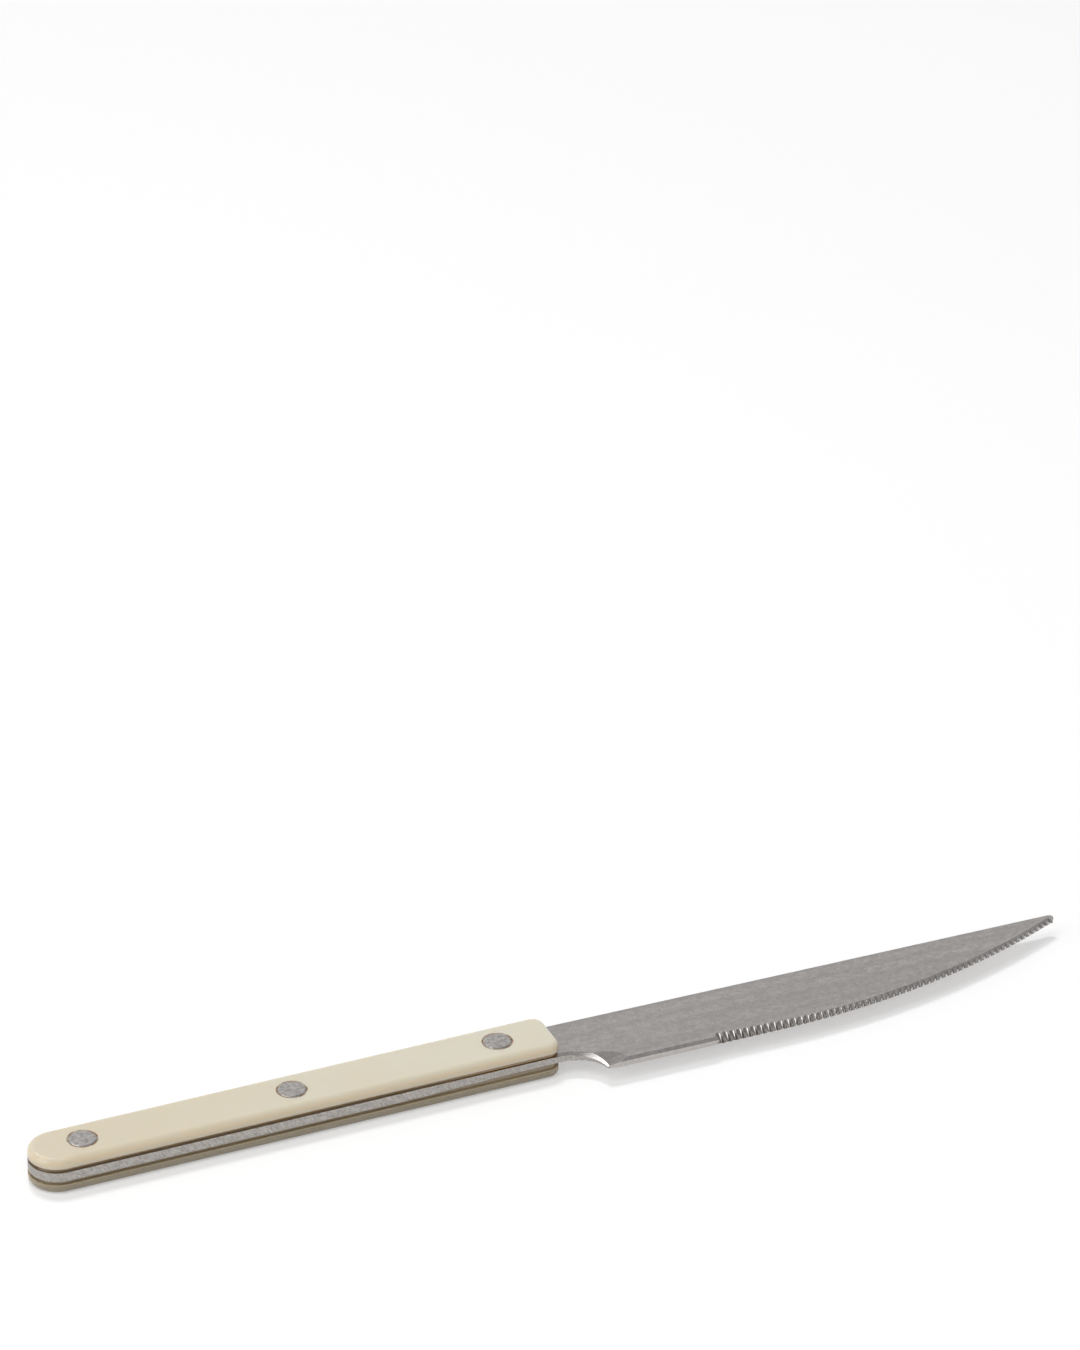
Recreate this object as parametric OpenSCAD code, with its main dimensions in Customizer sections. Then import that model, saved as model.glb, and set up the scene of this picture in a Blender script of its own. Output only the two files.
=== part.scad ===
// Table knife with riveted handle scales and a serrated blade
//
// The knife lies on its side, as it is laid on a table. The handle runs along X and the tip
// points to +X, the back of the blade faces +Y, the cutting edge faces -Y, and +Z is up.
// The origin is the middle of the knife's outline, on the surface that it lies on.
// Blade and tang are one piece of steel. Two moulded scales sit on the tang, and three
// two-part rivets clamp them: a post from the back goes into a sleeve from the front.

/* [Handle] */
// Length of the handle, from the butt to the front end of the scales
handle_len = 116; // [104:0.5:130]
// Width of the handle, from its back to its edge side
handle_w = 12.4; // [11:0.1:14]
// Thickness of one scale
slab_t = 3.05; // [2.8:0.05:4]
// Round along the outer edge of a scale
slab_round_r = 1.4; // [0.6:0.05:1.6]
// Height of the step along the edge of a scale beside the tang, which shows as a dark line
shadow_step_h = 0.9; // [0.4:0.05:1.1]
// Depth of that step
shadow_step_depth = 0.6; // [0.3:0.05:1]
// Corner radius of the scales' front end, seen from above
front_corner_r = 2.6; // [1.8:0.1:4]

/* [Steel] */
// Thickness of the steel in the tang
steel_t = 2.05; // [1.8:0.05:2.6]
// How far the tang's sides stand back from the scales' sides
tang_inset = 0.02; // [0:0.02:0.3]
// How far the neck stands back from the edge side of the handle
neck_inset = 0.38; // [0.3:0.02:0.45]
// Length of the neck that lies between the scales
neck_len = 14; // [8:0.5:20]
// Length over which the tang narrows to the neck and the neck's bevels run out
neck_taper_len = 22; // [12:0.5:28]

/* [Blade] */
// Length of the blade, from the front end of the scales to the tip
blade_len = 118.4; // [108:0.1:130]
// Width of the blade, from its back to its edge
blade_w = 18; // [16.5:0.25:20]
// Thickness of the blade at its edge, beside the handle
edge_t = 1.8; // [1.5:0.05:1.95]
// Thickness of the blade at its tip
tip_t = 1.2; // [1:0.05:1.5]
// How far the blade's back starts below the back of the handle
spine_step = 0.7; // [0.3:0.05:1.5]
// Angle by which the blade's back falls away from the line of the handle, in degrees
spine_droop = 0.78; // [0:0.02:2]
// Distance from the handle to the place where the edge starts to curve
belly_start = 46.6; // [42:0.1:55]
// Radius of the round tip
tip_r = 0.9; // [0.6:0.05:1.5]

/* [Heel] */
// Radius of the scoop between the neck and the heel
scoop_r = 8.1; // [7:0.1:9]
// How far behind the front end of the scales the scoop has its middle
scoop_setback = 0.5; // [0:0.1:1]
// Width of the bright crescent that is ground along the scoop
crescent_w = 1.15; // [0.6:0.05:1.6]
// Direction from the scoop's middle in which the crescent is widest, in degrees
crescent_aim = -15; // [-30:1:0]
// Thickness that is left at the heel's very corner
heel_t = 0.2; // [0.1:0.02:0.4]
// Radius of the shallow dish that is ground about the heel's corner
heel_dish_r = 5; // [3:0.1:6]
// Depth of that dish at the corner
heel_dish_depth = 0.6; // [0.3:0.02:0.7]

/* [Edge] */
// Width of the narrow bevel along the edge and the scoop
bevel_w = 1.05; // [0.6:0.05:1.3]
// Depth of that bevel
bevel_depth = 0.25; // [0.1:0.01:0.3]
// Distance from the handle to the first groove of the serration
serration_start = 33.4; // [30:0.1:40]
// Distance from one groove to the next, along the edge
groove_pitch = 1.545; // [1.4:0.005:2]
// Radius of the ground grooves
groove_r = 0.65; // [0.4:0.01:0.68]
// How far the first groove reaches in from the edge
first_groove_reach = 2.3; // [1.4:0.05:2.6]
// How far the last groove reaches in from the edge
last_groove_reach = 0.75; // [0.6:0.05:1.2]
// How deep each groove notches the very edge
notch_depth = 0.14; // [0:0.02:0.2]

/* [Rivets] */
// Diameter of the rivet heads
rivet_head_d = 6; // [5.4:0.1:7]
// Distance from the butt to the first rivet
butt_rivet_gap = 11.7; // [10:0.1:16]
// Distance from the last rivet to the front end of the scales
neck_rivet_gap = 12.1; // [10:0.1:16]
// Depth of the seat under each head
rivet_seat_depth = 1.2; // [0.8:0.05:1.5]
// Height of the front heads above the scale
rivet_front_rise = 0.2; // [0.05:0.05:0.4]
// Depth of the back heads below the scale, so that the knife lies flat
rivet_back_drop = 0.05; // [0.02:0.01:0.2]
// Round along the rim of a head
rivet_rim_r = 0.35; // [0.1:0.05:0.5]
// Outer diameter of the sleeves
sleeve_d = 4; // [3.8:0.1:4.6]
// Diameter of the posts
post_d = 2.6; // [2:0.1:3]

/* [Hidden] */

// Colours of the tumbled steel, the rivets and the cream scales
steel_colour = [0.63, 0.61, 0.60];
rivet_colour = [0.69, 0.69, 0.69];
scale_colour = [0.86, 0.83, 0.75];

// Gap between a rivet head and its seat's wall, and between a sleeve and the holes it passes
head_clearance = 0.05;
sleeve_clearance = 0.05;
tang_hole_clearance = 0.1;
// Gap between a post and the bore of its sleeve, all round and at the ends
post_clearance = 0.03;
post_end_gap = 0.3;
// How far every cut runs past the surface that it opens
overrun = 1;
// How the reach of the grooves falls off from the first to the last
groove_fade_power = 3;
// How many times its own depth the cone that cuts the crescent runs on downwards
cone_run_on = 1.5;

// Number of facets round a circle, a groove, the round of a rim and the long belly curve
$fn = 64;
groove_fn = 40;
rim_fn = 28;
belly_fn = 1440;

// Places along the handle, with zero at its middle
butt_x = -handle_len / 2;
front_x = handle_len / 2;
butt_end_r = handle_w / 2;
butt_centre_x = butt_x + butt_end_r;
butt_rivet_x = butt_x + butt_rivet_gap;
neck_rivet_x = front_x - neck_rivet_gap;
middle_rivet_x = (butt_rivet_x + neck_rivet_x) / 2;

// Heights of the stack: back scale, steel, front scale
steel_bottom_z = slab_t;
steel_middle_z = slab_t + steel_t / 2;
steel_top_z = slab_t + steel_t;
handle_t = 2 * slab_t + steel_t;

// The tang's half width, and the two lines along which the blade leaves the handle
tang_half_w = handle_w / 2 - tang_inset;
spine_y = handle_w / 2 - spine_step;
neck_y = -handle_w / 2 + neck_inset;
scoop_centre = [front_x - scoop_setback, neck_y - scoop_r];
// Where the neck starts between the scales. Its bevels bend a little behind that place and run
// out over a share of the length in which the tang narrows.
neck_x = front_x - neck_len;
bevel_bend_x = neck_x - bevel_w;
bevel_run_share = 0.8;
run_out_deg = atan((neck_inset - tang_inset + bevel_w) / (bevel_run_share * neck_taper_len));

// The blade's own axes start where its back leaves the handle and follow its back.
// This turns a place in them into a place in the knife's axes.
function from_blade(p) = [
    front_x + p[0] * cos(spine_droop) + p[1] * sin(spine_droop),
    spine_y - p[0] * sin(spine_droop) + p[1] * cos(spine_droop)
];
// And back again
function to_blade(p) = [
    (p[0] - front_x) * cos(spine_droop) - (p[1] - spine_y) * sin(spine_droop),
    (p[0] - front_x) * sin(spine_droop) + (p[1] - spine_y) * cos(spine_droop)
];
// Place of the blade's back across the knife, from the handle's middle line, at a place along it
function spine_y_at(x) = spine_y - (x - front_x) * tan(spine_droop);
// Place of the line of the straight edge there
function edge_y_at(x) = spine_y_at(x) - blade_w / cos(spine_droop);

// The belly is one arc that leaves the straight edge smoothly and meets the tip round smoothly
tip_centre = [blade_len - tip_r, -tip_r];
belly_run = tip_centre[0] - belly_start;
belly_drop = blade_w - tip_r;
belly_r = (belly_drop * belly_drop + belly_run * belly_run - tip_r * tip_r) / (2 * (belly_drop - tip_r));
belly_centre = [belly_start, belly_r - blade_w];
belly_deg = asin(belly_run / (belly_r - tip_r));
belly_end = belly_centre + belly_r * [sin(belly_deg), -cos(belly_deg)];
belly_corner = [belly_start + belly_r * tan(belly_deg / 2), -blade_w - overrun];

// Slopes of the ground faces: across the blade and along it, for one face
face_fall_across = (steel_t - edge_t) / 2 / blade_w;
face_fall_along = (steel_t - tip_t) / 2 / blade_len;
wedge_deg = atan(face_fall_across);
taper_deg = atan(face_fall_along);
// Half the thickness of the blade at a place in its own axes
function half_thickness(p) = steel_t / 2 + p[1] * face_fall_across - p[0] * face_fall_along;

// The scoop's middle and the heel's corner in the blade's own axes
scoop = to_blade(scoop_centre);
scoop_rise = scoop[1] + blade_w;
heel = [scoop[0] + sqrt(scoop_r * scoop_r - scoop_rise * scoop_rise), -blade_w];
// Depth of the crescent, below the bevel, that leaves the stated thickness at the heel
crescent_depth = half_thickness(heel) - bevel_depth - heel_t / 2;

// Grooves are counted along the edge, from the place where the belly starts
first_groove_s = serration_start - belly_start;
belly_arc_len = belly_r * belly_deg * PI / 180;
serration_len = belly_arc_len - first_groove_s;
groove_count = floor(serration_len / groove_pitch) + 1;
// Direction of the edge at a distance along it, in degrees from the straight edge
function edge_deg(s) = s < 0 ? 0 : s / belly_r * 180 / PI;
// Place on the edge at that distance
function edge_point(s) =
    s < 0 ? [belly_start + s, -blade_w] : belly_centre + belly_r * [sin(edge_deg(s)), -cos(edge_deg(s))];
// Reach of groove number i, falling quickly at first and then slowly
function groove_share(i) = i / max(groove_count - 1, 1);
function groove_reach(i) =
    last_groove_reach + (first_groove_reach - last_groove_reach) * pow(1 - groove_share(i), groove_fade_power);

// The knife's outline, for placing it about the origin
outline_top_y = handle_w / 2;
outline_bottom_y = from_blade(belly_centre)[1] - belly_r;
outline_middle = [
    (butt_x + front_x + blade_len) / 2,
    (outline_top_y + outline_bottom_y) / 2
];

module place_knife() {
    translate([-outline_middle[0], -outline_middle[1], 0])
        children();
}

// Outline of the tang: a half-round butt, parallel sides, and a neck narrower on the edge side
module tang_outline() {
    intersection() {
        translate([butt_centre_x, 0])
            circle(tang_half_w);
        translate([butt_x, -handle_w / 2])
            square([butt_end_r, handle_w]);
    }
    polygon([
        [butt_centre_x, -tang_half_w],
        [neck_x - neck_taper_len, -tang_half_w],
        [neck_x, neck_y],
        [scoop_centre[0], neck_y],
        [scoop_centre[0], spine_y_at(scoop_centre[0])],
        [front_x - front_corner_r, tang_half_w],
        [butt_centre_x, tang_half_w]
    ]);
}

// Outline of the blade: straight back, straight edge behind the scoop, belly arc, round tip
module blade_outline() {
    difference() {
        polygon([
            [scoop_centre[0], edge_y_at(scoop_centre[0])],
            from_blade([belly_start, -blade_w]),
            from_blade([belly_start, 0]),
            [scoop_centre[0], spine_y_at(scoop_centre[0])]
        ]);
        translate(scoop_centre)
            circle(scoop_r);
    }
    intersection() {
        polygon([
            from_blade([belly_start, -blade_w - overrun]),
            from_blade(belly_corner),
            from_blade(belly_end + overrun * [sin(belly_deg), -cos(belly_deg)]),
            from_blade(belly_end),
            from_blade([tip_centre[0], 0]),
            from_blade([belly_start, 0])
        ]);
        translate(from_blade(belly_centre))
            circle(belly_r, $fn = belly_fn);
    }
    intersection() {
        translate(from_blade(tip_centre))
            circle(tip_r);
        polygon([
            from_blade(belly_end),
            from_blade(belly_end + tip_r * [sin(belly_deg), -cos(belly_deg)]),
            from_blade([blade_len + tip_r, belly_end[1] - tip_r]),
            from_blade([blade_len + tip_r, tip_r]),
            from_blade([tip_centre[0], tip_r]),
            from_blade([tip_centre[0], 0])
        ]);
    }
}

// Places its children in the blade's own axes, with zero height in the middle of the steel
module in_blade() {
    translate([front_x, spine_y, steel_middle_z])
        rotate([0, 0, -spine_droop])
            children();
}

// Places its children on one ground face of the blade, with zero height in that face
module on_face(side) {
    mirror([0, 0, side])
        translate([0, 0, steel_t / 2])
            rotate([wedge_deg, taper_deg, 0])
                children();
}

// Section of the narrow bevel: what is cut away, with the edge at zero, and how far past the edge
module bevel_section(past_edge) {
    slope = bevel_depth / bevel_w;
    polygon([
        [bevel_w, 0],
        [-past_edge, -bevel_depth - slope * past_edge],
        [-past_edge, overrun],
        [bevel_w, overrun]
    ]);
}

// Everything that is ground off one face: the wedge, the narrow bevel, the crescent and the dish
module face_grind() {
    translate([-shadow_step_depth / 2, -blade_w - overrun, 0])
        cube([blade_len + 2 * overrun, blade_w + 2 * overrun, steel_t]);
    translate([0, -blade_w, 0])
        rotate([90, 0, 90])
            linear_extrude(belly_start)
                bevel_section(overrun);
    translate([belly_centre[0], belly_centre[1], 0])
        rotate([0, 0, -90])
            rotate_extrude(angle = belly_deg, $fn = belly_fn)
                translate([belly_r, 0])
                    mirror([1, 0])
                        bevel_section(overrun);
    translate([scoop[0], scoop[1], -2 * bevel_depth])
        cylinder(h = 3 * bevel_depth, r1 = scoop_r - bevel_w, r2 = scoop_r + 2 * bevel_w);
    translate([
        scoop[0] + crescent_w * cos(crescent_aim),
        scoop[1] + crescent_w * sin(crescent_aim),
        -bevel_depth - cone_run_on * crescent_depth
    ])
        cylinder(
            h = (1 + cone_run_on) * crescent_depth + bevel_depth,
            r1 = scoop_r - cone_run_on * crescent_w,
            r2 = scoop_r + crescent_w * (1 + bevel_depth / crescent_depth)
        );
    translate([heel[0], heel[1], -heel_dish_depth])
        cylinder(h = 2 * heel_dish_depth, r1 = 0, r2 = 2 * heel_dish_r);
}

// The bevel along the edge side of the neck, between the scales, with zero height in the face
// that it is cut from. Behind the neck a slanted cut limits it, so that it runs out sideways.
module neck_bevel() {
    straight_len = scoop_centre[0] - bevel_bend_x;
    translate([bevel_bend_x, neck_y, 0])
        intersection() {
            rotate([90, 0, 90])
                translate([0, 0, -2 * neck_taper_len])
                    linear_extrude(2 * neck_taper_len + straight_len)
                        bevel_section(overrun);
            rotate([90, 0, 90 + run_out_deg])
                translate([0, 0, -2 * neck_taper_len])
                    linear_extrude(2 * neck_taper_len + 2 * straight_len)
                        bevel_section(overrun + 2 * straight_len * tan(run_out_deg));
        }
}

// One ground groove, square to the edge and sloping from the front face to the back of the edge
module groove(i) {
    s = first_groove_s + i * groove_pitch;
    edge = edge_point(s);
    half_t = half_thickness(edge);
    reach = groove_reach(i);
    slope_deg = atan(2 * half_t / (reach - notch_depth));
    length = (reach + 2 * groove_r) / cos(slope_deg) + 2 * groove_r;
    translate([edge[0], edge[1], -half_t])
        rotate([0, 0, edge_deg(s)])
            translate([0, notch_depth - groove_r * sin(slope_deg), groove_r * cos(slope_deg)])
                rotate([slope_deg - 90, 0, 0])
                    translate([0, 0, -2 * groove_r])
                        cylinder(h = length, r = groove_r, $fn = groove_fn);
}

module blade() {
    color(steel_colour)
        place_knife()
            difference() {
                translate([0, 0, steel_bottom_z])
                    linear_extrude(steel_t) {
                        tang_outline();
                        blade_outline();
                    }
                in_blade()
                    for (side = [0, 1])
                        on_face(side)
                            face_grind();
                for (side = [0, 1])
                    translate([0, 0, steel_middle_z])
                        mirror([0, 0, side])
                            translate([0, 0, steel_t / 2])
                                neck_bevel();
                in_blade()
                    for (i = [0 : groove_count - 1])
                        groove(i);
                for (x = [butt_rivet_x, middle_rivet_x, neck_rivet_x])
                    translate([x, 0, steel_bottom_z - overrun])
                        cylinder(h = steel_t + 2 * overrun, d = sleeve_d + 2 * tang_hole_clearance);
            }
}

// Half the section of a scale: flat inner face at zero height, step and round on the right side
module scale_half_section(half_w) {
    difference() {
        union() {
            square([half_w - slab_round_r, slab_t]);
            square([half_w, slab_t - slab_round_r]);
            intersection() {
                translate([half_w - slab_round_r, slab_t - slab_round_r])
                    circle(slab_round_r, $fn = rim_fn);
                translate([half_w - slab_round_r, 0])
                    square([slab_round_r, slab_t]);
            }
        }
        translate([half_w - shadow_step_depth, -overrun])
            square([shadow_step_depth + overrun, shadow_step_h + overrun]);
    }
}

// One scale without its holes, inner face down: straight bar, half-round butt, rounded front
module scale_body() {
    corner_y = handle_w / 2 - front_corner_r;
    translate([butt_centre_x, 0, 0])
        rotate([90, 0, 90])
            linear_extrude(front_x - front_corner_r - butt_centre_x) {
                scale_half_section(handle_w / 2);
                mirror([1, 0])
                    scale_half_section(handle_w / 2);
            }
    translate([butt_centre_x, 0, 0])
        rotate([0, 0, 90])
            rotate_extrude(angle = 180)
                scale_half_section(handle_w / 2);
    translate([front_x - front_corner_r, corner_y, 0]) {
        rotate_extrude(angle = 90)
            scale_half_section(front_corner_r);
        rotate([90, 0, 0])
            linear_extrude(2 * corner_y)
                scale_half_section(front_corner_r);
    }
    translate([front_x - front_corner_r, -corner_y, 0])
        rotate([0, 0, -90])
            rotate_extrude(angle = 90)
                scale_half_section(front_corner_r);
}

// A scale with its rivet holes and the seats for the heads, inner face down
module drilled_scale() {
    difference() {
        scale_body();
        for (x = [butt_rivet_x, middle_rivet_x, neck_rivet_x])
            translate([x, 0, 0]) {
                translate([0, 0, -overrun])
                    cylinder(h = slab_t + 2 * overrun, d = sleeve_d + 2 * sleeve_clearance);
                translate([0, 0, slab_t - rivet_seat_depth])
                    cylinder(h = rivet_seat_depth + overrun, d = rivet_head_d + 2 * head_clearance);
            }
    }
}

module front_scale() {
    color(scale_colour)
        place_knife()
            translate([0, 0, steel_top_z])
                drilled_scale();
}

module back_scale() {
    color(scale_colour)
        place_knife()
            translate([0, 0, steel_bottom_z])
                mirror([0, 0, 1])
                    drilled_scale();
}

// A rivet head with a rounded rim, flat side down
module rivet_head(height) {
    rotate_extrude() {
        square([rivet_head_d / 2 - rivet_rim_r, height]);
        square([rivet_head_d / 2, height - rivet_rim_r]);
        intersection() {
            translate([rivet_head_d / 2 - rivet_rim_r, height - rivet_rim_r])
                circle(rivet_rim_r, $fn = rim_fn);
            square([rivet_head_d / 2, height]);
        }
    }
}

// The half of a rivet with its head on the front: a tube that goes through both holes
module rivet_sleeve(x) {
    tube_bottom_z = rivet_seat_depth + post_end_gap;
    tube_top_z = handle_t - rivet_seat_depth;
    color(rivet_colour)
        place_knife()
            translate([x, 0, 0])
                difference() {
                    union() {
                        translate([0, 0, tube_top_z])
                            rivet_head(rivet_seat_depth + rivet_front_rise);
                        translate([0, 0, tube_bottom_z])
                            cylinder(h = tube_top_z - tube_bottom_z, d = sleeve_d);
                    }
                    translate([0, 0, tube_bottom_z - overrun])
                        cylinder(h = tube_top_z - tube_bottom_z + overrun, d = post_d + 2 * post_clearance);
                }
}

// The half with its head on the back: a solid post, driven into the sleeve
module rivet_post(x) {
    post_top_z = handle_t - rivet_seat_depth - post_end_gap;
    color(rivet_colour)
        place_knife()
            translate([x, 0, 0]) {
                translate([0, 0, rivet_seat_depth])
                    mirror([0, 0, 1])
                        rivet_head(rivet_seat_depth - rivet_back_drop);
                translate([0, 0, rivet_seat_depth])
                    cylinder(h = post_top_z - rivet_seat_depth, d = post_d);
            }
}

blade();
front_scale();
back_scale();
rivet_sleeve(butt_rivet_x);  // butt_rivet_sleeve
rivet_post(butt_rivet_x);  // butt_rivet_post
rivet_sleeve(middle_rivet_x);  // middle_rivet_sleeve
rivet_post(middle_rivet_x);  // middle_rivet_post
rivet_sleeve(neck_rivet_x);  // neck_rivet_sleeve
rivet_post(neck_rivet_x);  // neck_rivet_post
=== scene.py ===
# %% [markdown]
# # A table knife with a riveted cream handle
# The knife lies flat on a pale table: a one-piece steel blade and tang, two cream
# handle scales moulded in plastic, and three two-part rivets that clamp them.
# Every solid comes finished from the CAD model, so nothing is modelled again here.
# What Blender adds is the look: how each surface was made, and the light it lies in.

import bpy
from mathutils import Matrix, Vector


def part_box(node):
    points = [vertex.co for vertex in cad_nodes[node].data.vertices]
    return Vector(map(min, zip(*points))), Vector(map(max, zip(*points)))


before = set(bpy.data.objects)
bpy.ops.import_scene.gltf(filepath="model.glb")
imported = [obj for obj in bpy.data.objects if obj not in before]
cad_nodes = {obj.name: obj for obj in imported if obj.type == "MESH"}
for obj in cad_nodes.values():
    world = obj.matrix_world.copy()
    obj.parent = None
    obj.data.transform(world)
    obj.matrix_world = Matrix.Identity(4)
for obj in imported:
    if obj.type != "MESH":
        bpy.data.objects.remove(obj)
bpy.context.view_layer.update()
print("CAD solids:", sorted(cad_nodes))

# %% [markdown]
# Colours are easiest to choose as the numbers a screen shows, but a shader wants
# light in linear steps. Each one could be looked up in a colour picker. This helper
# works it out instead, so that a finish is written down as it looks. The numbers in
# it are those of the standard curve of a screen.

# %% A colour as it looks on a screen
def linear(red, green, blue):
    light = []
    for value in (red / 255, green / 255, blue / 255):
        if value <= 0.04045:
            light.append(value / 12.92)
        else:
            light.append(((value + 0.055) / 1.055) ** 2.4)
    return tuple(light) + (1.0,)


print("mid grey 128 is", round(linear(128, 128, 128)[0], 3), "in linear light")

# %% [markdown]
# A finish is a small network of nodes that ends in one shader. It could be wired by
# hand in the editor. Helpers are used because three finishes share the same few
# moves: start one, add a node, and plug something into the shader.

# %% Start a finish and wire it
def new_finish(name):
    finish = bpy.data.materials.new(name)
    finish.use_nodes = True
    finish.node_tree.nodes.clear()
    output = finish.node_tree.nodes.new("ShaderNodeOutputMaterial")
    shader = finish.node_tree.nodes.new("ShaderNodeBsdfPrincipled")
    finish.node_tree.links.new(shader.outputs["BSDF"], output.inputs["Surface"])
    return finish, shader


def add_node(finish, kind, links=None, **settings):
    node = finish.node_tree.nodes.new(kind)
    for key, value in settings.items():
        setattr(node, key, value)
    for socket, source in (links or {}).items():
        if isinstance(source, bpy.types.NodeSocket):
            finish.node_tree.links.new(source, node.inputs[socket])
        else:
            node.inputs[socket].default_value = source
    return node


def plug(finish, source, shader, socket):
    finish.node_tree.links.new(source, shader.inputs[socket])


print("a finish starts as a shader and an output")

# %% [markdown]
# Mottling and streaks are small pictures that the shader works out: a noise, or a
# noise that is stretched. They could follow an unwrapped picture of the surface. Here
# they read the object's own coordinates in metres, so the finish stays on the piece
# when it is turned, needs no unwrapping, and a scale of 1000 makes marks of about a
# millimetre.

# %% Places and noises on a piece
def place(finish):
    return add_node(finish, "ShaderNodeTexCoord").outputs["Object"]


def along(finish, axis):
    return add_node(finish, "ShaderNodeSeparateXYZ", {"Vector": place(finish)}).outputs[axis]


def stretched(finish, scale, turn):
    turning = {"Vector": place(finish), "Rotation": turn}
    turned = add_node(finish, "ShaderNodeMapping", turning).outputs["Vector"]
    scaling = {"Vector": turned, "Scale": scale}
    return add_node(finish, "ShaderNodeMapping", scaling).outputs["Vector"]


def mottle(finish, scale, detail=2.0, roughness=0.5, turn=(0.0, 0.0, 0.0)):
    noise = {"Vector": stretched(finish, scale, turn), "Scale": 1.0}
    noise["Detail"] = detail
    noise["Roughness"] = roughness
    return add_node(finish, "ShaderNodeTexNoise", noise).outputs["Fac"]


print("noises ready")

# %% [markdown]
# A mark on a surface begins somewhere and ends somewhere, and its edge is seldom
# sharp. A painted mask could say where. These helpers say it with numbers: sums does
# arithmetic, fade turns a value into an amount with a soft edge, mixed lays one colour
# over another by that amount, mixed_value does the same with two numbers, and relief
# turns a noise into dents that are too shallow to model. A noise stays mostly between
# 0.3 and 0.7, so a fade over that span uses all of it, and one over a narrower span
# gives harder marks. The Mix node has a set of sockets for each kind of thing that it
# mixes: numbers go in at 2 and 3, and colours at 6 and 7.

# %% Fades, mixes and relief
NOISE_SPAN = (0.3, 0.7)
NARROW_SPAN = (0.35, 0.65)


def sums(finish, operation, *values):
    values = dict(enumerate(values))
    return add_node(finish, "ShaderNodeMath", values, operation=operation).outputs[0]


def fade(finish, value, start, stop, low=0.0, high=1.0):
    limits = {"Value": value, "From Min": start, "From Max": stop, "To Min": low, "To Max": high}
    ramp = add_node(finish, "ShaderNodeMapRange", limits, interpolation_type="SMOOTHSTEP")
    return ramp.outputs["Result"]


def mixed(finish, amount, under, over):
    colours = {0: amount, 6: under, 7: over}
    return add_node(finish, "ShaderNodeMix", colours, data_type="RGBA").outputs[2]


def mixed_value(finish, amount, under, over):
    return add_node(finish, "ShaderNodeMix", {0: amount, 2: under, 3: over}).outputs[0]


def relief(finish, height, depth, under=None):
    dents = {"Height": height, "Strength": 1.0, "Distance": depth}
    if under is not None:
        dents["Normal"] = under
    return add_node(finish, "ShaderNodeBump", dents).outputs["Normal"]


print("fades and mixes ready")

# %% [markdown]
# The steel looks stamped from strip and tumbled in a drum of small stones. Tumbling
# leaves a soft satin: no clear direction, a fine grain, a faint cloudiness, and a few
# tiny pale and dark specks. Wide faint streaks from the rolling of the strip still run
# along it. A scanned picture of steel could give all this, but noises never repeat and
# stay sharp close up. The streaks are a noise stretched nearly forty times along X.
# The specks are the few places where a fine noise is at its highest or lowest.

# %% Grain and colour of the tumbled steel
STEEL_GREY = linear(224, 220, 218)
STEEL_DULL = linear(200, 196, 194)
STEEL_CLOUD = linear(180, 175, 172)
PALE_SPECK = linear(236, 234, 230)
DARK_SPECK = linear(150, 143, 136)
GRAIN_SCALE = (2200, 2200, 2200)
STREAK_SCALE = (14, 520, 520)
CLOUD_SCALE = (700, 900, 900)
SPECK_SCALE = (3200, 3200, 3200)
HIGHEST_SPAN = (0.70, 0.82)
LOWEST_SPAN = (0.25, 0.17)

satin_steel, steel_shader = new_finish("satin_steel_finish")
fine_grain = mottle(satin_steel, GRAIN_SCALE)
rolled_streaks = mottle(satin_steel, STREAK_SCALE, detail=3.0)
tumbled_cloud = mottle(satin_steel, CLOUD_SCALE, detail=3.0, roughness=0.6)
speck_noise = mottle(satin_steel, SPECK_SCALE, detail=0.0)

streaks_shown = fade(satin_steel, rolled_streaks, *NOISE_SPAN)
grain_shown = fade(satin_steel, fine_grain, *NOISE_SPAN, high=0.8)
cloud_shown = fade(satin_steel, tumbled_cloud, *NARROW_SPAN, high=0.5)
pale_shown = fade(satin_steel, speck_noise, *HIGHEST_SPAN, high=0.5)
dark_shown = fade(satin_steel, speck_noise, *LOWEST_SPAN, high=0.3)
steel_colour = mixed(satin_steel, streaks_shown, STEEL_GREY, STEEL_DULL)
steel_colour = mixed(satin_steel, grain_shown, steel_colour, STEEL_DULL)
steel_colour = mixed(satin_steel, cloud_shown, steel_colour, STEEL_CLOUD)
steel_colour = mixed(satin_steel, pale_shown, steel_colour, PALE_SPECK)
steel_colour = mixed(satin_steel, dark_shown, steel_colour, DARK_SPECK)
print("tumbled grain:", len(satin_steel.node_tree.nodes), "nodes")

# %% [markdown]
# The steel seems to have three kinds of face. The flats were tumbled. The bevels, the
# scoop and the grooves were ground afterwards, so they are smoother and mirror more
# clearly. The sides of the tang and the back of the blade are as the stamping press
# left them: torn, dull and crossed by slanting lines. A mask could be painted for
# each, but it would have to be redone whenever the shape changes. So the shader tells
# them apart by where they point and by how far along the knife they lie. Where a face
# points is measured in the room, so this holds while the knife lies flat, as it does.

# %% Ground faces and stamped sides
HEEL_X = 0.0075
HEEL_BLUR = 0.001
STAMPED_GREY = linear(190, 186, 182)
STAMPED_DARK = linear(158, 153, 147)
LINES_SCALE = (4200, 4200, 1100)
LINES_SLANT = (0.0, 0.7, 0.0)
FLAT_TO_GROUND = (0.9990, 0.9970)
LEANING_TO_UPRIGHT = (0.5, 0.3)
UP_TO_BACK = (0.3, 0.5)


def face_way(finish, normal):
    geometry = add_node(finish, "ShaderNodeNewGeometry")
    return add_node(finish, "ShaderNodeSeparateXYZ", {"Vector": geometry.outputs[normal]}).outputs


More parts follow.
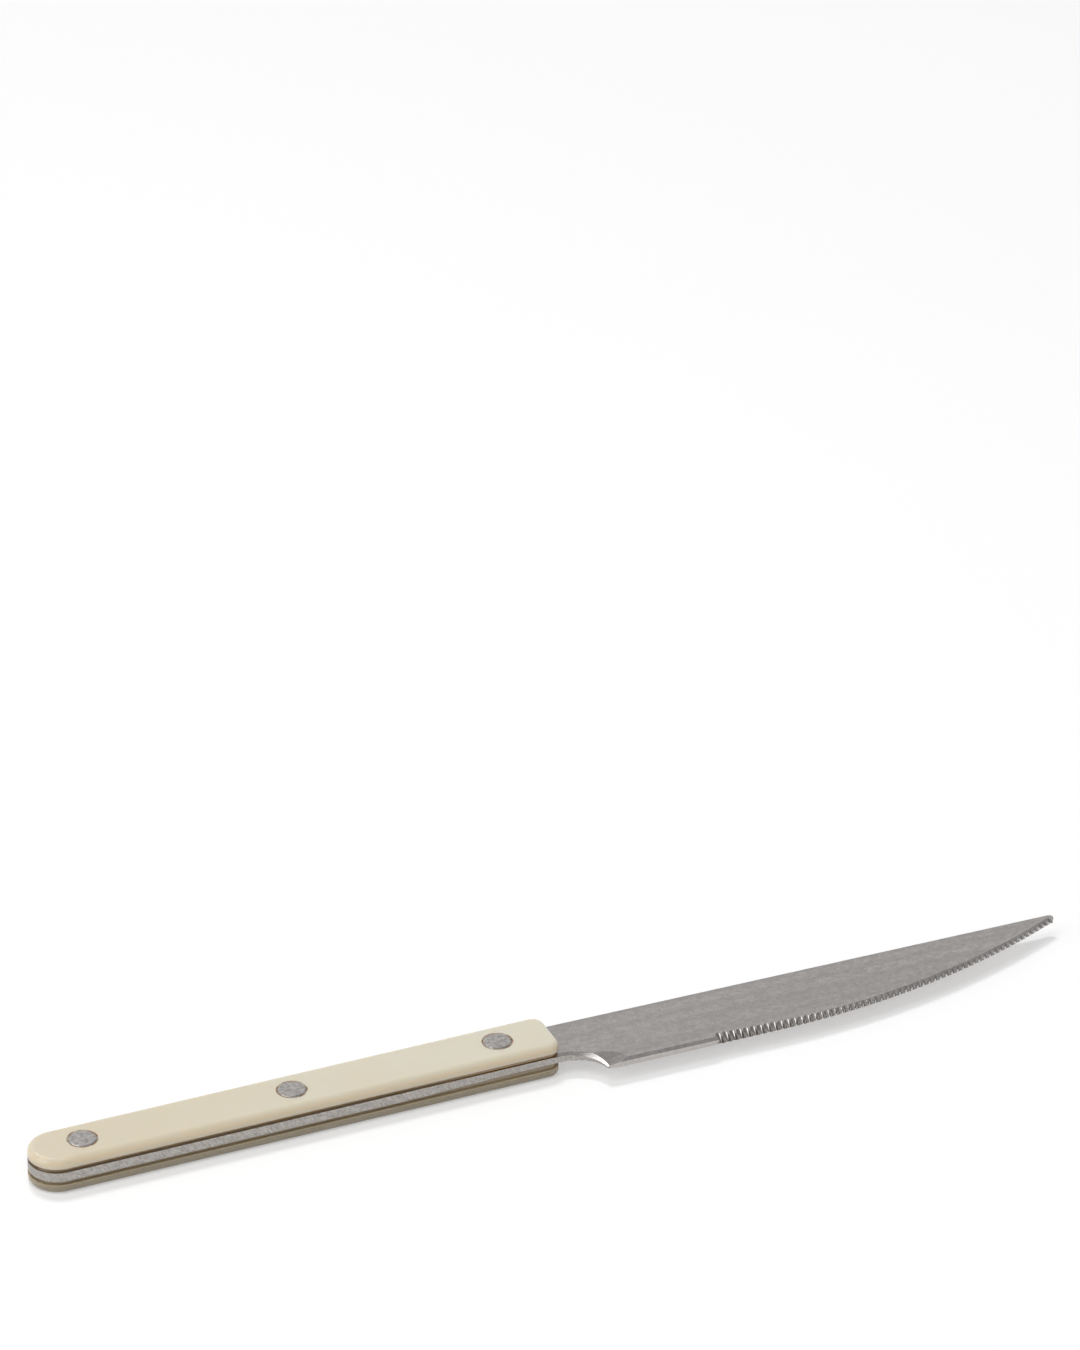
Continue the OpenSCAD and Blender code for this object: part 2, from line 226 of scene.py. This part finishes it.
steel_way = face_way(satin_steel, "True Normal")
steel_x = along(satin_steel, "X")
lies_flat = sums(satin_steel, "ABSOLUTE", steel_way["Z"])
ground = fade(satin_steel, lies_flat, *FLAT_TO_GROUND)
behind_heel = fade(satin_steel, steel_x, HEEL_X, HEEL_X - HEEL_BLUR)
back_side = fade(satin_steel, steel_way["Y"], *UP_TO_BACK)
unground = sums(satin_steel, "MAXIMUM", behind_heel, back_side)
upright = fade(satin_steel, lies_flat, *LEANING_TO_UPRIGHT)
stamped = sums(satin_steel, "MULTIPLY", upright, unground)

stamped_lines = mottle(satin_steel, LINES_SCALE, detail=3.0, roughness=0.6, turn=LINES_SLANT)
lines_shown = fade(satin_steel, stamped_lines, *NARROW_SPAN)
stamped_colour = mixed(satin_steel, lines_shown, STAMPED_GREY, STAMPED_DARK)
steel_colour = mixed(satin_steel, stamped, steel_colour, stamped_colour)
print("the heel is at", 1000 * HEEL_X, "mm, and the sides behind it are stamped")

# %% [markdown]
# The thin side under the edge mirrors the pale table. Clean steel would be nearly
# white there, but the photograph shows it duller, most of all below the grooves. So a
# duller grey is painted there as a painted shade, strongest below the grooves, and the
# face is made rougher too. It fades out towards the tip. A separate material on those
# faces could show it too, but that has a hard border, and this painted shade has none.

# %% Painted shade under the edge
SERRATION_X = 0.0320
SERRATION_BLUR = 0.0002
PLAIN_EDGE_SHARE = 0.4
# Painted shade: a duller grey on the face under the edge, strongest below the grooves.
EDGE_SHADE_GREY = linear(150, 144, 138)
NEARLY_UPRIGHT = (0.25, 0.1)
UP_TO_EDGE = (-0.3, -0.5)
TIP_TO_BELLY_X = (0.08, 0.05)

stands_up = fade(satin_steel, lies_flat, *NEARLY_UPRIGHT)
faces_edge = fade(satin_steel, steel_way["Y"], *UP_TO_EDGE)
under_edge = sums(satin_steel, "MULTIPLY", stands_up, faces_edge)
serrated_x = (SERRATION_X, SERRATION_X + SERRATION_BLUR)
serrated = fade(satin_steel, steel_x, *serrated_x, low=PLAIN_EDGE_SHARE)
off_tip = fade(satin_steel, steel_x, *TIP_TO_BELLY_X)
past_heel = fade(satin_steel, steel_x, HEEL_X - HEEL_BLUR, HEEL_X)
edge_shade = sums(satin_steel, "MULTIPLY", serrated, off_tip)
edge_shade = sums(satin_steel, "MULTIPLY", edge_shade, past_heel)
edge_shade = sums(satin_steel, "MULTIPLY", edge_shade, under_edge)
# The painted shade under the edge goes on here.
steel_colour = mixed(satin_steel, edge_shade, steel_colour, EDGE_SHADE_GREY)
print("the serration starts at", 1000 * SERRATION_X, "mm")

# %% [markdown]
# What tells one metal surface from another is mostly how sharply it mirrors. The
# tumbled flats blur the room, the ground faces blur it less, and the torn sides blur
# it most. One roughness for the whole blade would be simpler, but the blade would look
# cast in one go. The dents are only two thousandths of a millimetre deep, which is
# enough to break up the shine.

# %% Shine of the steel
TUMBLED_ROUGH = (0.30, 0.42)
GROUND_ROUGH = 0.22
TORN_ROUGH = 0.5
STEEL_DENT = 0.000002

tumbled_rough = fade(satin_steel, fine_grain, *NOISE_SPAN, *TUMBLED_ROUGH)
steel_rough = mixed_value(satin_steel, ground, tumbled_rough, GROUND_ROUGH)
torn = sums(satin_steel, "MAXIMUM", stamped, edge_shade)
steel_rough = mixed_value(satin_steel, torn, steel_rough, TORN_ROUGH)
steel_relief = relief(satin_steel, fine_grain, STEEL_DENT)
steel_relief = relief(satin_steel, rolled_streaks, STEEL_DENT, under=steel_relief)
plug(satin_steel, steel_colour, steel_shader, "Base Color")
plug(satin_steel, steel_rough, steel_shader, "Roughness")
plug(satin_steel, steel_relief, steel_shader, "Normal")
steel_shader.inputs["Metallic"].default_value = 1.0
print("steel:", len(satin_steel.node_tree.nodes), "nodes")

# %% [markdown]
# The handle scales are moulded in a cream plastic with a soft shine. Light goes a
# little way into such a plastic and comes out elsewhere, red light the farthest, and
# scattering under the surface gives that in every view. In the photograph the sides
# are warmer than the top. Deeper scattering was tried for that, but it made them look
# greenish, so the light goes in only a little and the sides get a painted glow: a
# warmer colour painted on, in place of the light that scatters out through them.

# %% Cream moulded plastic
CREAM = linear(223, 217, 199)
CREAM_BUTT = linear(221, 211, 189)
CREAM_CLOUD = linear(221, 212, 189)
# Painted glow: a warmer colour for the sides, in place of light scattered out through them.
CREAM_SIDE_GLOW = linear(231, 217, 190)
MIDDLE_TO_BUTT_X = (-0.02, -0.11)
CREAM_CLOUD_SCALE = (60, 90, 90)
CREAM_GRAIN_SCALE = (1400, 1400, 1400)
CREAM_CLOUD_SPAN = (0.3, 0.8)
TOP_TO_SIDE = (0.85, 0.3)
CREAM_ROUGH = (0.09, 0.14)
CREAM_DENT = 0.000003
CREAM_GLOSS = 0.8
GLOW_DEPTH = 0.0015
GLOW_SHARES = (1.0, 0.85, 0.65)

cream_plastic, cream_shader = new_finish("cream_plastic_finish")
cream_cloud = mottle(cream_plastic, CREAM_CLOUD_SCALE, detail=3.0)
cream_grain = mottle(cream_plastic, CREAM_GRAIN_SCALE)
towards_butt = fade(cream_plastic, along(cream_plastic, "X"), *MIDDLE_TO_BUTT_X)
yellowed = fade(cream_plastic, cream_cloud, *CREAM_CLOUD_SPAN, high=0.5)
cream_flat = sums(cream_plastic, "ABSOLUTE", face_way(cream_plastic, "Normal")["Z"])
side_glow = fade(cream_plastic, cream_flat, *TOP_TO_SIDE)
cream_colour = mixed(cream_plastic, towards_butt, CREAM, CREAM_BUTT)
cream_colour = mixed(cream_plastic, yellowed, cream_colour, CREAM_CLOUD)
# The painted glow goes on the sides here.
cream_colour = mixed(cream_plastic, side_glow, cream_colour, CREAM_SIDE_GLOW)

cream_rough = fade(cream_plastic, cream_cloud, *NOISE_SPAN, *CREAM_ROUGH)
plug(cream_plastic, cream_rough, cream_shader, "Roughness")
plug(cream_plastic, relief(cream_plastic, cream_grain, CREAM_DENT), cream_shader, "Normal")
cream_shader.inputs["Specular IOR Level"].default_value = CREAM_GLOSS
cream_shader.inputs["Subsurface Weight"].default_value = 1.0
cream_shader.inputs["Subsurface Radius"].default_value = GLOW_SHARES
cream_shader.inputs["Subsurface Scale"].default_value = GLOW_DEPTH
print("cream plastic:", len(cream_plastic.node_tree.nodes), "nodes")

# %% [markdown]
# The step along the tang lies in deep shade, and a brown painted shade fills it. Paint
# on a picture of the scale could show it. Here its place is known from the solids,
# since the step lies within a millimetre of the steel, so the painted shade stays in it
# with no mask. The scale below the steel shows darker in the photograph, so it gets a
# darker cream by the same measure: a painted shade too, since the light from above
# doesn't reach it.

# %% Painted shade in the step
# Painted shade: a dark brown for the deep shade in the step along the tang.
STEP_SHADE = linear(176, 144, 100)
# Painted shade: a darker cream for the scale under the steel.
CREAM_BACK_SHADE = linear(168, 156, 132)
STEP_HEIGHT = 0.0009
STEP_BLUR_OUT = 0.00006
STEP_BLUR_IN = 0.00002
BACK_STEP_SHARE = 0.2
BACK_TO_FRONT = (-0.001, 0.001)
MIDDLE_TO_BACK = (0.0, -0.001)

blade_low, blade_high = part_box("blade")
steel_middle_z = (blade_low[2] + blade_high[2]) / 2
step_edge = (blade_high[2] - blade_low[2]) / 2 + STEP_HEIGHT
over_steel = sums(cream_plastic, "SUBTRACT", along(cream_plastic, "Z"), steel_middle_z)
off_steel = sums(cream_plastic, "ABSOLUTE", over_steel)
near_steel = fade(cream_plastic, off_steel, step_edge + STEP_BLUR_OUT, step_edge - STEP_BLUR_IN)
step_share = fade(cream_plastic, over_steel, *BACK_TO_FRONT, low=BACK_STEP_SHARE)
shade_in_step = sums(cream_plastic, "MULTIPLY", near_steel, step_share)
under_steel_shade = fade(cream_plastic, over_steel, *MIDDLE_TO_BACK)
# The painted shades go on here: a darker cream under the steel, brown in the step.
cream_colour = mixed(cream_plastic, under_steel_shade, cream_colour, CREAM_BACK_SHADE)
cream_colour = mixed(cream_plastic, shade_in_step, cream_colour, STEP_SHADE)
print("painted_shade up to", round(1000 * step_edge, 3), "mm from the middle of the steel")

# %% [markdown]
# A fine brown ring lies round each rivet head, where the scale was cut for it. It is a
# painted shade, for the shade in the narrow gap round the head. A thin ring of its own
# could be modelled, but it would stand on the surface, and this is painted in it. So
# each ring is a distance from its rivet's axis, broken up by a noise, and the axes come
# from the solids.

# %% Painted shade rings round the rivets
# Painted shade: a brown ring for the shade in the gap round each rivet head.
RING_SHADE = linear(150, 100, 48)
RING_WIDTH = 0.0002
RING_BLUR = 0.0002
RING_SCALE = (700, 700, 700)
RING_SPAN = (0.3, 0.55)
RING_FAINTEST = 0.35
FLATTEN = (1.0, 1.0, 0.0)

ring_noise = mottle(cream_plastic, RING_SCALE, detail=1.0)
ring_share = fade(cream_plastic, ring_noise, *RING_SPAN, low=RING_FAINTEST)
for rivet_name in sorted(name for name in cad_nodes if name.endswith("_rivet_sleeve")):
    rivet_low, rivet_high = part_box(rivet_name)
    rivet_axis = ((rivet_low[0] + rivet_high[0]) / 2, (rivet_low[1] + rivet_high[1]) / 2, 0.0)
    ring_edge = (rivet_high[0] - rivet_low[0]) / 2 + RING_WIDTH
    seen_flat = {0: place(cream_plastic), 1: FLATTEN}
    flat_place = add_node(cream_plastic, "ShaderNodeVectorMath", seen_flat, operation="MULTIPLY")
    to_axis = {0: flat_place.outputs["Vector"], 1: rivet_axis}
    from_axis = add_node(cream_plastic, "ShaderNodeVectorMath", to_axis, operation="DISTANCE")
    ring = fade(cream_plastic, from_axis.outputs["Value"], ring_edge + RING_BLUR, ring_edge)
    ring = sums(cream_plastic, "MULTIPLY", ring, ring_share)
    # Each painted shade ring goes on here.
    cream_colour = mixed(cream_plastic, ring, cream_colour, RING_SHADE)
    print(rivet_name, "ring", round(2000 * ring_edge, 2), "mm across")
plug(cream_plastic, cream_colour, cream_shader, "Base Color")

# %% [markdown]
# The rivets look turned from a softer metal and tumbled with the rest, so they carry
# fine scratches and a mottled grey. They could share the blade's finish, but the
# photograph shows them more mottled, so they have their own: one noise drives the
# colour, the roughness and the dents, because on real metal these go together.

# %% Worn rivet metal
RIVET_GREY = linear(222, 219, 216)
RIVET_DULL = linear(184, 179, 175)
RIVET_CLOUD_SCALE = (1500, 1500, 1500)
SCRATCH_SCALE = (300, 3200, 300)
RIVET_ROUGH = (0.26, 0.44)
RIVET_DENT = 0.000008
SCRATCH_DEPTH = 0.000003

rivet_metal, rivet_shader = new_finish("rivet_metal_finish")
rivet_cloud = mottle(rivet_metal, RIVET_CLOUD_SCALE, detail=3.0, roughness=0.6)
rivet_scratch = mottle(rivet_metal, SCRATCH_SCALE)
rivet_mottle = fade(rivet_metal, rivet_cloud, *NARROW_SPAN)
rivet_colour = mixed(rivet_metal, rivet_mottle, RIVET_GREY, RIVET_DULL)
rivet_rough = fade(rivet_metal, rivet_cloud, *NOISE_SPAN, *RIVET_ROUGH)
rivet_relief = relief(rivet_metal, rivet_cloud, RIVET_DENT)
rivet_relief = relief(rivet_metal, rivet_scratch, SCRATCH_DEPTH, under=rivet_relief)
plug(rivet_metal, rivet_colour, rivet_shader, "Base Color")
plug(rivet_metal, rivet_rough, rivet_shader, "Roughness")
plug(rivet_metal, rivet_relief, rivet_shader, "Normal")
rivet_shader.inputs["Metallic"].default_value = 1.0
print("rivet metal:", len(rivet_metal.node_tree.nodes), "nodes")

# %% [markdown]
# Nine pieces make up the knife: the blade with its tang, two scales, and three rivets
# of two halves each. Each could be copied and the copy dressed, but then two meshes
# would lie in one place. So every CAD solid keeps its mesh and only gets a finish.

# %% Put each finish on its solids
def dress(node_name, finish):
    piece = cad_nodes[node_name]
    piece.data.materials.clear()
    piece.data.materials.append(finish)


dress("blade", satin_steel)
for scale_name in ("front_scale", "back_scale"):
    dress(scale_name, cream_plastic)
for rivet_name in sorted(name for name in cad_nodes if "_rivet_" in name):
    dress(rivet_name, rivet_metal)
print("dressed:", len(cad_nodes), "solids")

# %% [markdown]
# The table is one wide pale sheet. The knife's soft shadow falls on it and the steel
# mirrors it, so it has to be a real surface. Blender's own plane would do. Here the
# four corners are written out, a hundredth of a millimetre below the knife, so that
# the table and the knife never share a plane.

# %% Pale table
TABLE_HALF_SIDE = 6.0
TABLE_DROP = 0.00001
TABLE_BOUNCE = (0.55, 0.55, 0.55, 1.0)
TABLE_SEEN = (0.7, 0.7, 0.7, 1.0)
TABLE_LIFT = 0.33

corners = []
for x, y in ((-1, -1), (1, -1), (1, 1), (-1, 1)):
    corners.append((x * TABLE_HALF_SIDE, y * TABLE_HALF_SIDE, -TABLE_DROP))
table_mesh = bpy.data.meshes.new("table")
table_mesh.from_pydata(corners, [], [(0, 1, 2, 3)])
table = bpy.data.objects.new("table", table_mesh)
bpy.context.scene.collection.objects.link(table)
print("table:", 2 * TABLE_HALF_SIDE, "m wide")

# %% [markdown]
# Seen directly, or mirrored in the steel, the table should be nearly white. More light
# would do that, but it would fall on the knife as well. So the paint asks which ray is
# looking. The eye and the mirrors get a pale matt paint with a faint glow of its own,
# and the knife gets a plain grey one that throws less light back. The shadow falls on
# both.

# %% Paint of the table
table_paint = bpy.data.materials.new("pale_table_finish")
table_paint.use_nodes = True
table_paint.node_tree.nodes.clear()
ray = add_node(table_paint, "ShaderNodeLightPath").outputs
seen = sums(table_paint, "MAXIMUM", ray["Is Camera Ray"], ray["Is Glossy Ray"])
seen = sums(table_paint, "MAXIMUM", seen, ray["Is Transmission Ray"])
bounce = add_node(table_paint, "ShaderNodeBsdfDiffuse", {"Color": TABLE_BOUNCE})
shown = add_node(table_paint, "ShaderNodeBsdfDiffuse", {"Color": TABLE_SEEN})
lift = add_node(table_paint, "ShaderNodeEmission", {"Strength": TABLE_LIFT})
lifted = add_node(table_paint, "ShaderNodeAddShader", {0: shown.outputs[0], 1: lift.outputs[0]})
by_ray = {0: seen, 1: bounce.outputs[0], 2: lifted.outputs[0]}
choice = add_node(table_paint, "ShaderNodeMixShader", by_ray)
add_node(table_paint, "ShaderNodeOutputMaterial", {"Surface": choice.outputs[0]})
table_mesh.materials.append(table_paint)
print("table paint:", len(table_paint.node_tree.nodes), "nodes")

# %% [markdown]
# The photograph was taken in soft light, and the shadows and reflections tell where
# it came from. Lamps that light the knife and cards that it mirrors are kept apart, as
# in a studio. Three lamps only light: a bright one almost overhead and a little behind,
# which draws the edge of the shadow, a soft one on the left and a wide one in front.
# Three cards only show in reflections, and make the ground hollow at the heel flash
# white. The wide panel on the left does both, and brightens the walls of the grooves.
# One lamp behind the knife would be simpler, but it stretches the blade's shadow. A
# lamp's power in watts spreads over its disk, so a brightness is turned into watts.

# %% Lamps and cards
import math

LAMP_DISTANCE = 1.6


def panel(name, towards, size, brightness):
    lamp = bpy.data.lights.new(name, "AREA")
    lamp.shape = "DISK"
    lamp.size = size
    disk_area = math.pi / 4 * size * size
    lamp.energy = brightness * math.pi * disk_area
    lamp_object = bpy.data.objects.new(name, lamp)
    way = Vector(towards).normalized()
    lamp_object.location = way * LAMP_DISTANCE
    lamp_object.rotation_euler = (-way).to_track_quat("-Z", "Y").to_euler()
    bpy.context.scene.collection.objects.link(lamp_object)
    print(name, "gives", round(lamp.energy, 2), "W")
    return lamp_object


panel("left_panel", (-0.86, -0.14, 0.48), 1.3, 1.6)
for card in (panel("back_card_1", (0.0, 0.30, 0.95), 0.4, 1.5),
             panel("back_card_2", (-0.10, 0.42, 0.90), 0.4, 2.6),
             panel("back_card_3", (-0.20, 0.57, 0.79), 0.4, 3.2)):
    card.visible_diffuse = False
for lamp in (panel("overhead_lamp", (0.0, 0.34, 0.94), 0.34, 29.0),
             panel("front_lamp", (0.10, -0.75, 0.65), 1.2, 0.9),
             panel("left_lamp", (-0.35, -0.15, 0.92), 0.8, 3.0)):
    lamp.visible_glossy = False

# %% [markdown]
# The room around the table is brightest low down behind the knife, where a window or a
# pale wall would be, fairly bright in front, and dim overhead. The flat of the blade
# mirrors the part behind and the ground faces mirror dimmer parts, which sets them
# apart. A picture of a real room would do this too, but a ramp with a few steps is
# easier to set against the photograph. Each step says how far a direction leans
# towards the bright part, from about -1 to 1, and how bright the room is there. A ramp
# runs from 0 to 1, so the lean is halved and a half is added.

# %% Room light
TOWARDS_BRIGHT = (0.0, 1.0, -0.5)
ROOM_STEPS = ((-1.0, 0.44), (-0.78, 0.19), (0.05, 0.36), (0.36, 0.41), (0.54, 0.68))

world = bpy.data.worlds.new("studio")
world.use_nodes = True
bpy.context.scene.world = world
room_way = {0: add_node(world, "ShaderNodeTexCoord").outputs["Generated"], 1: TOWARDS_BRIGHT}
brightward = add_node(world, "ShaderNodeVectorMath", room_way, operation="DOT_PRODUCT")
on_ramp = sums(world, "MULTIPLY_ADD", brightward.outputs["Value"], 0.5, 0.5)
room = add_node(world, "ShaderNodeValToRGB", {"Fac": on_ramp})
room_steps = room.color_ramp.elements
room_steps.remove(room_steps[1])
for number, (lean, brightness) in enumerate(ROOM_STEPS):
    spot = (lean + 1) / 2
    step = room_steps.new(spot) if number else room_steps[0]
    step.position = spot
    step.color = (brightness, brightness, brightness, 1.0)
plug(world, room.outputs["Color"], world.node_tree.nodes["Background"], "Color")
print("room light from", ROOM_STEPS[0][1], "to", ROOM_STEPS[-1][1])

# %% [markdown]
# The camera stands where the photograph seems to have been taken: not quite two metres
# away, looking down by thirty degrees, a little to the left of the knife, with a long
# lens. It could be set by eye. Its place was found by fitting known points of the knife
# to the photograph, because only then do the outlines nearly lie on each other.

# %% Camera
CAMERA_PLACE = Vector((-0.61191, -1.38477, 0.96826))
CAMERA_RIGHT = Vector((0.91594, -0.40134, 0.0))
CAMERA_UP = Vector((0.20058, 0.45777, 0.86618))
CAMERA_LENS = 229.78
FULL_FRAME = 36.0
FARTHEST_SEEN = 30.0

camera_data = bpy.data.cameras.new("camera")
camera_data.lens = CAMERA_LENS
camera_data.sensor_width = FULL_FRAME
camera_data.clip_end = FARTHEST_SEEN
camera = bpy.data.objects.new("camera", camera_data)
camera_back = CAMERA_RIGHT.cross(CAMERA_UP)
turn = Matrix((CAMERA_RIGHT, CAMERA_UP, camera_back)).transposed()
camera.matrix_world = Matrix.Translation(CAMERA_PLACE) @ turn.to_4x4()
bpy.context.scene.collection.objects.link(camera)
bpy.context.scene.camera = camera
bpy.context.scene.view_settings.view_transform = "Standard"
print("camera", round(CAMERA_PLACE.length, 2), "m from the middle of the knife")
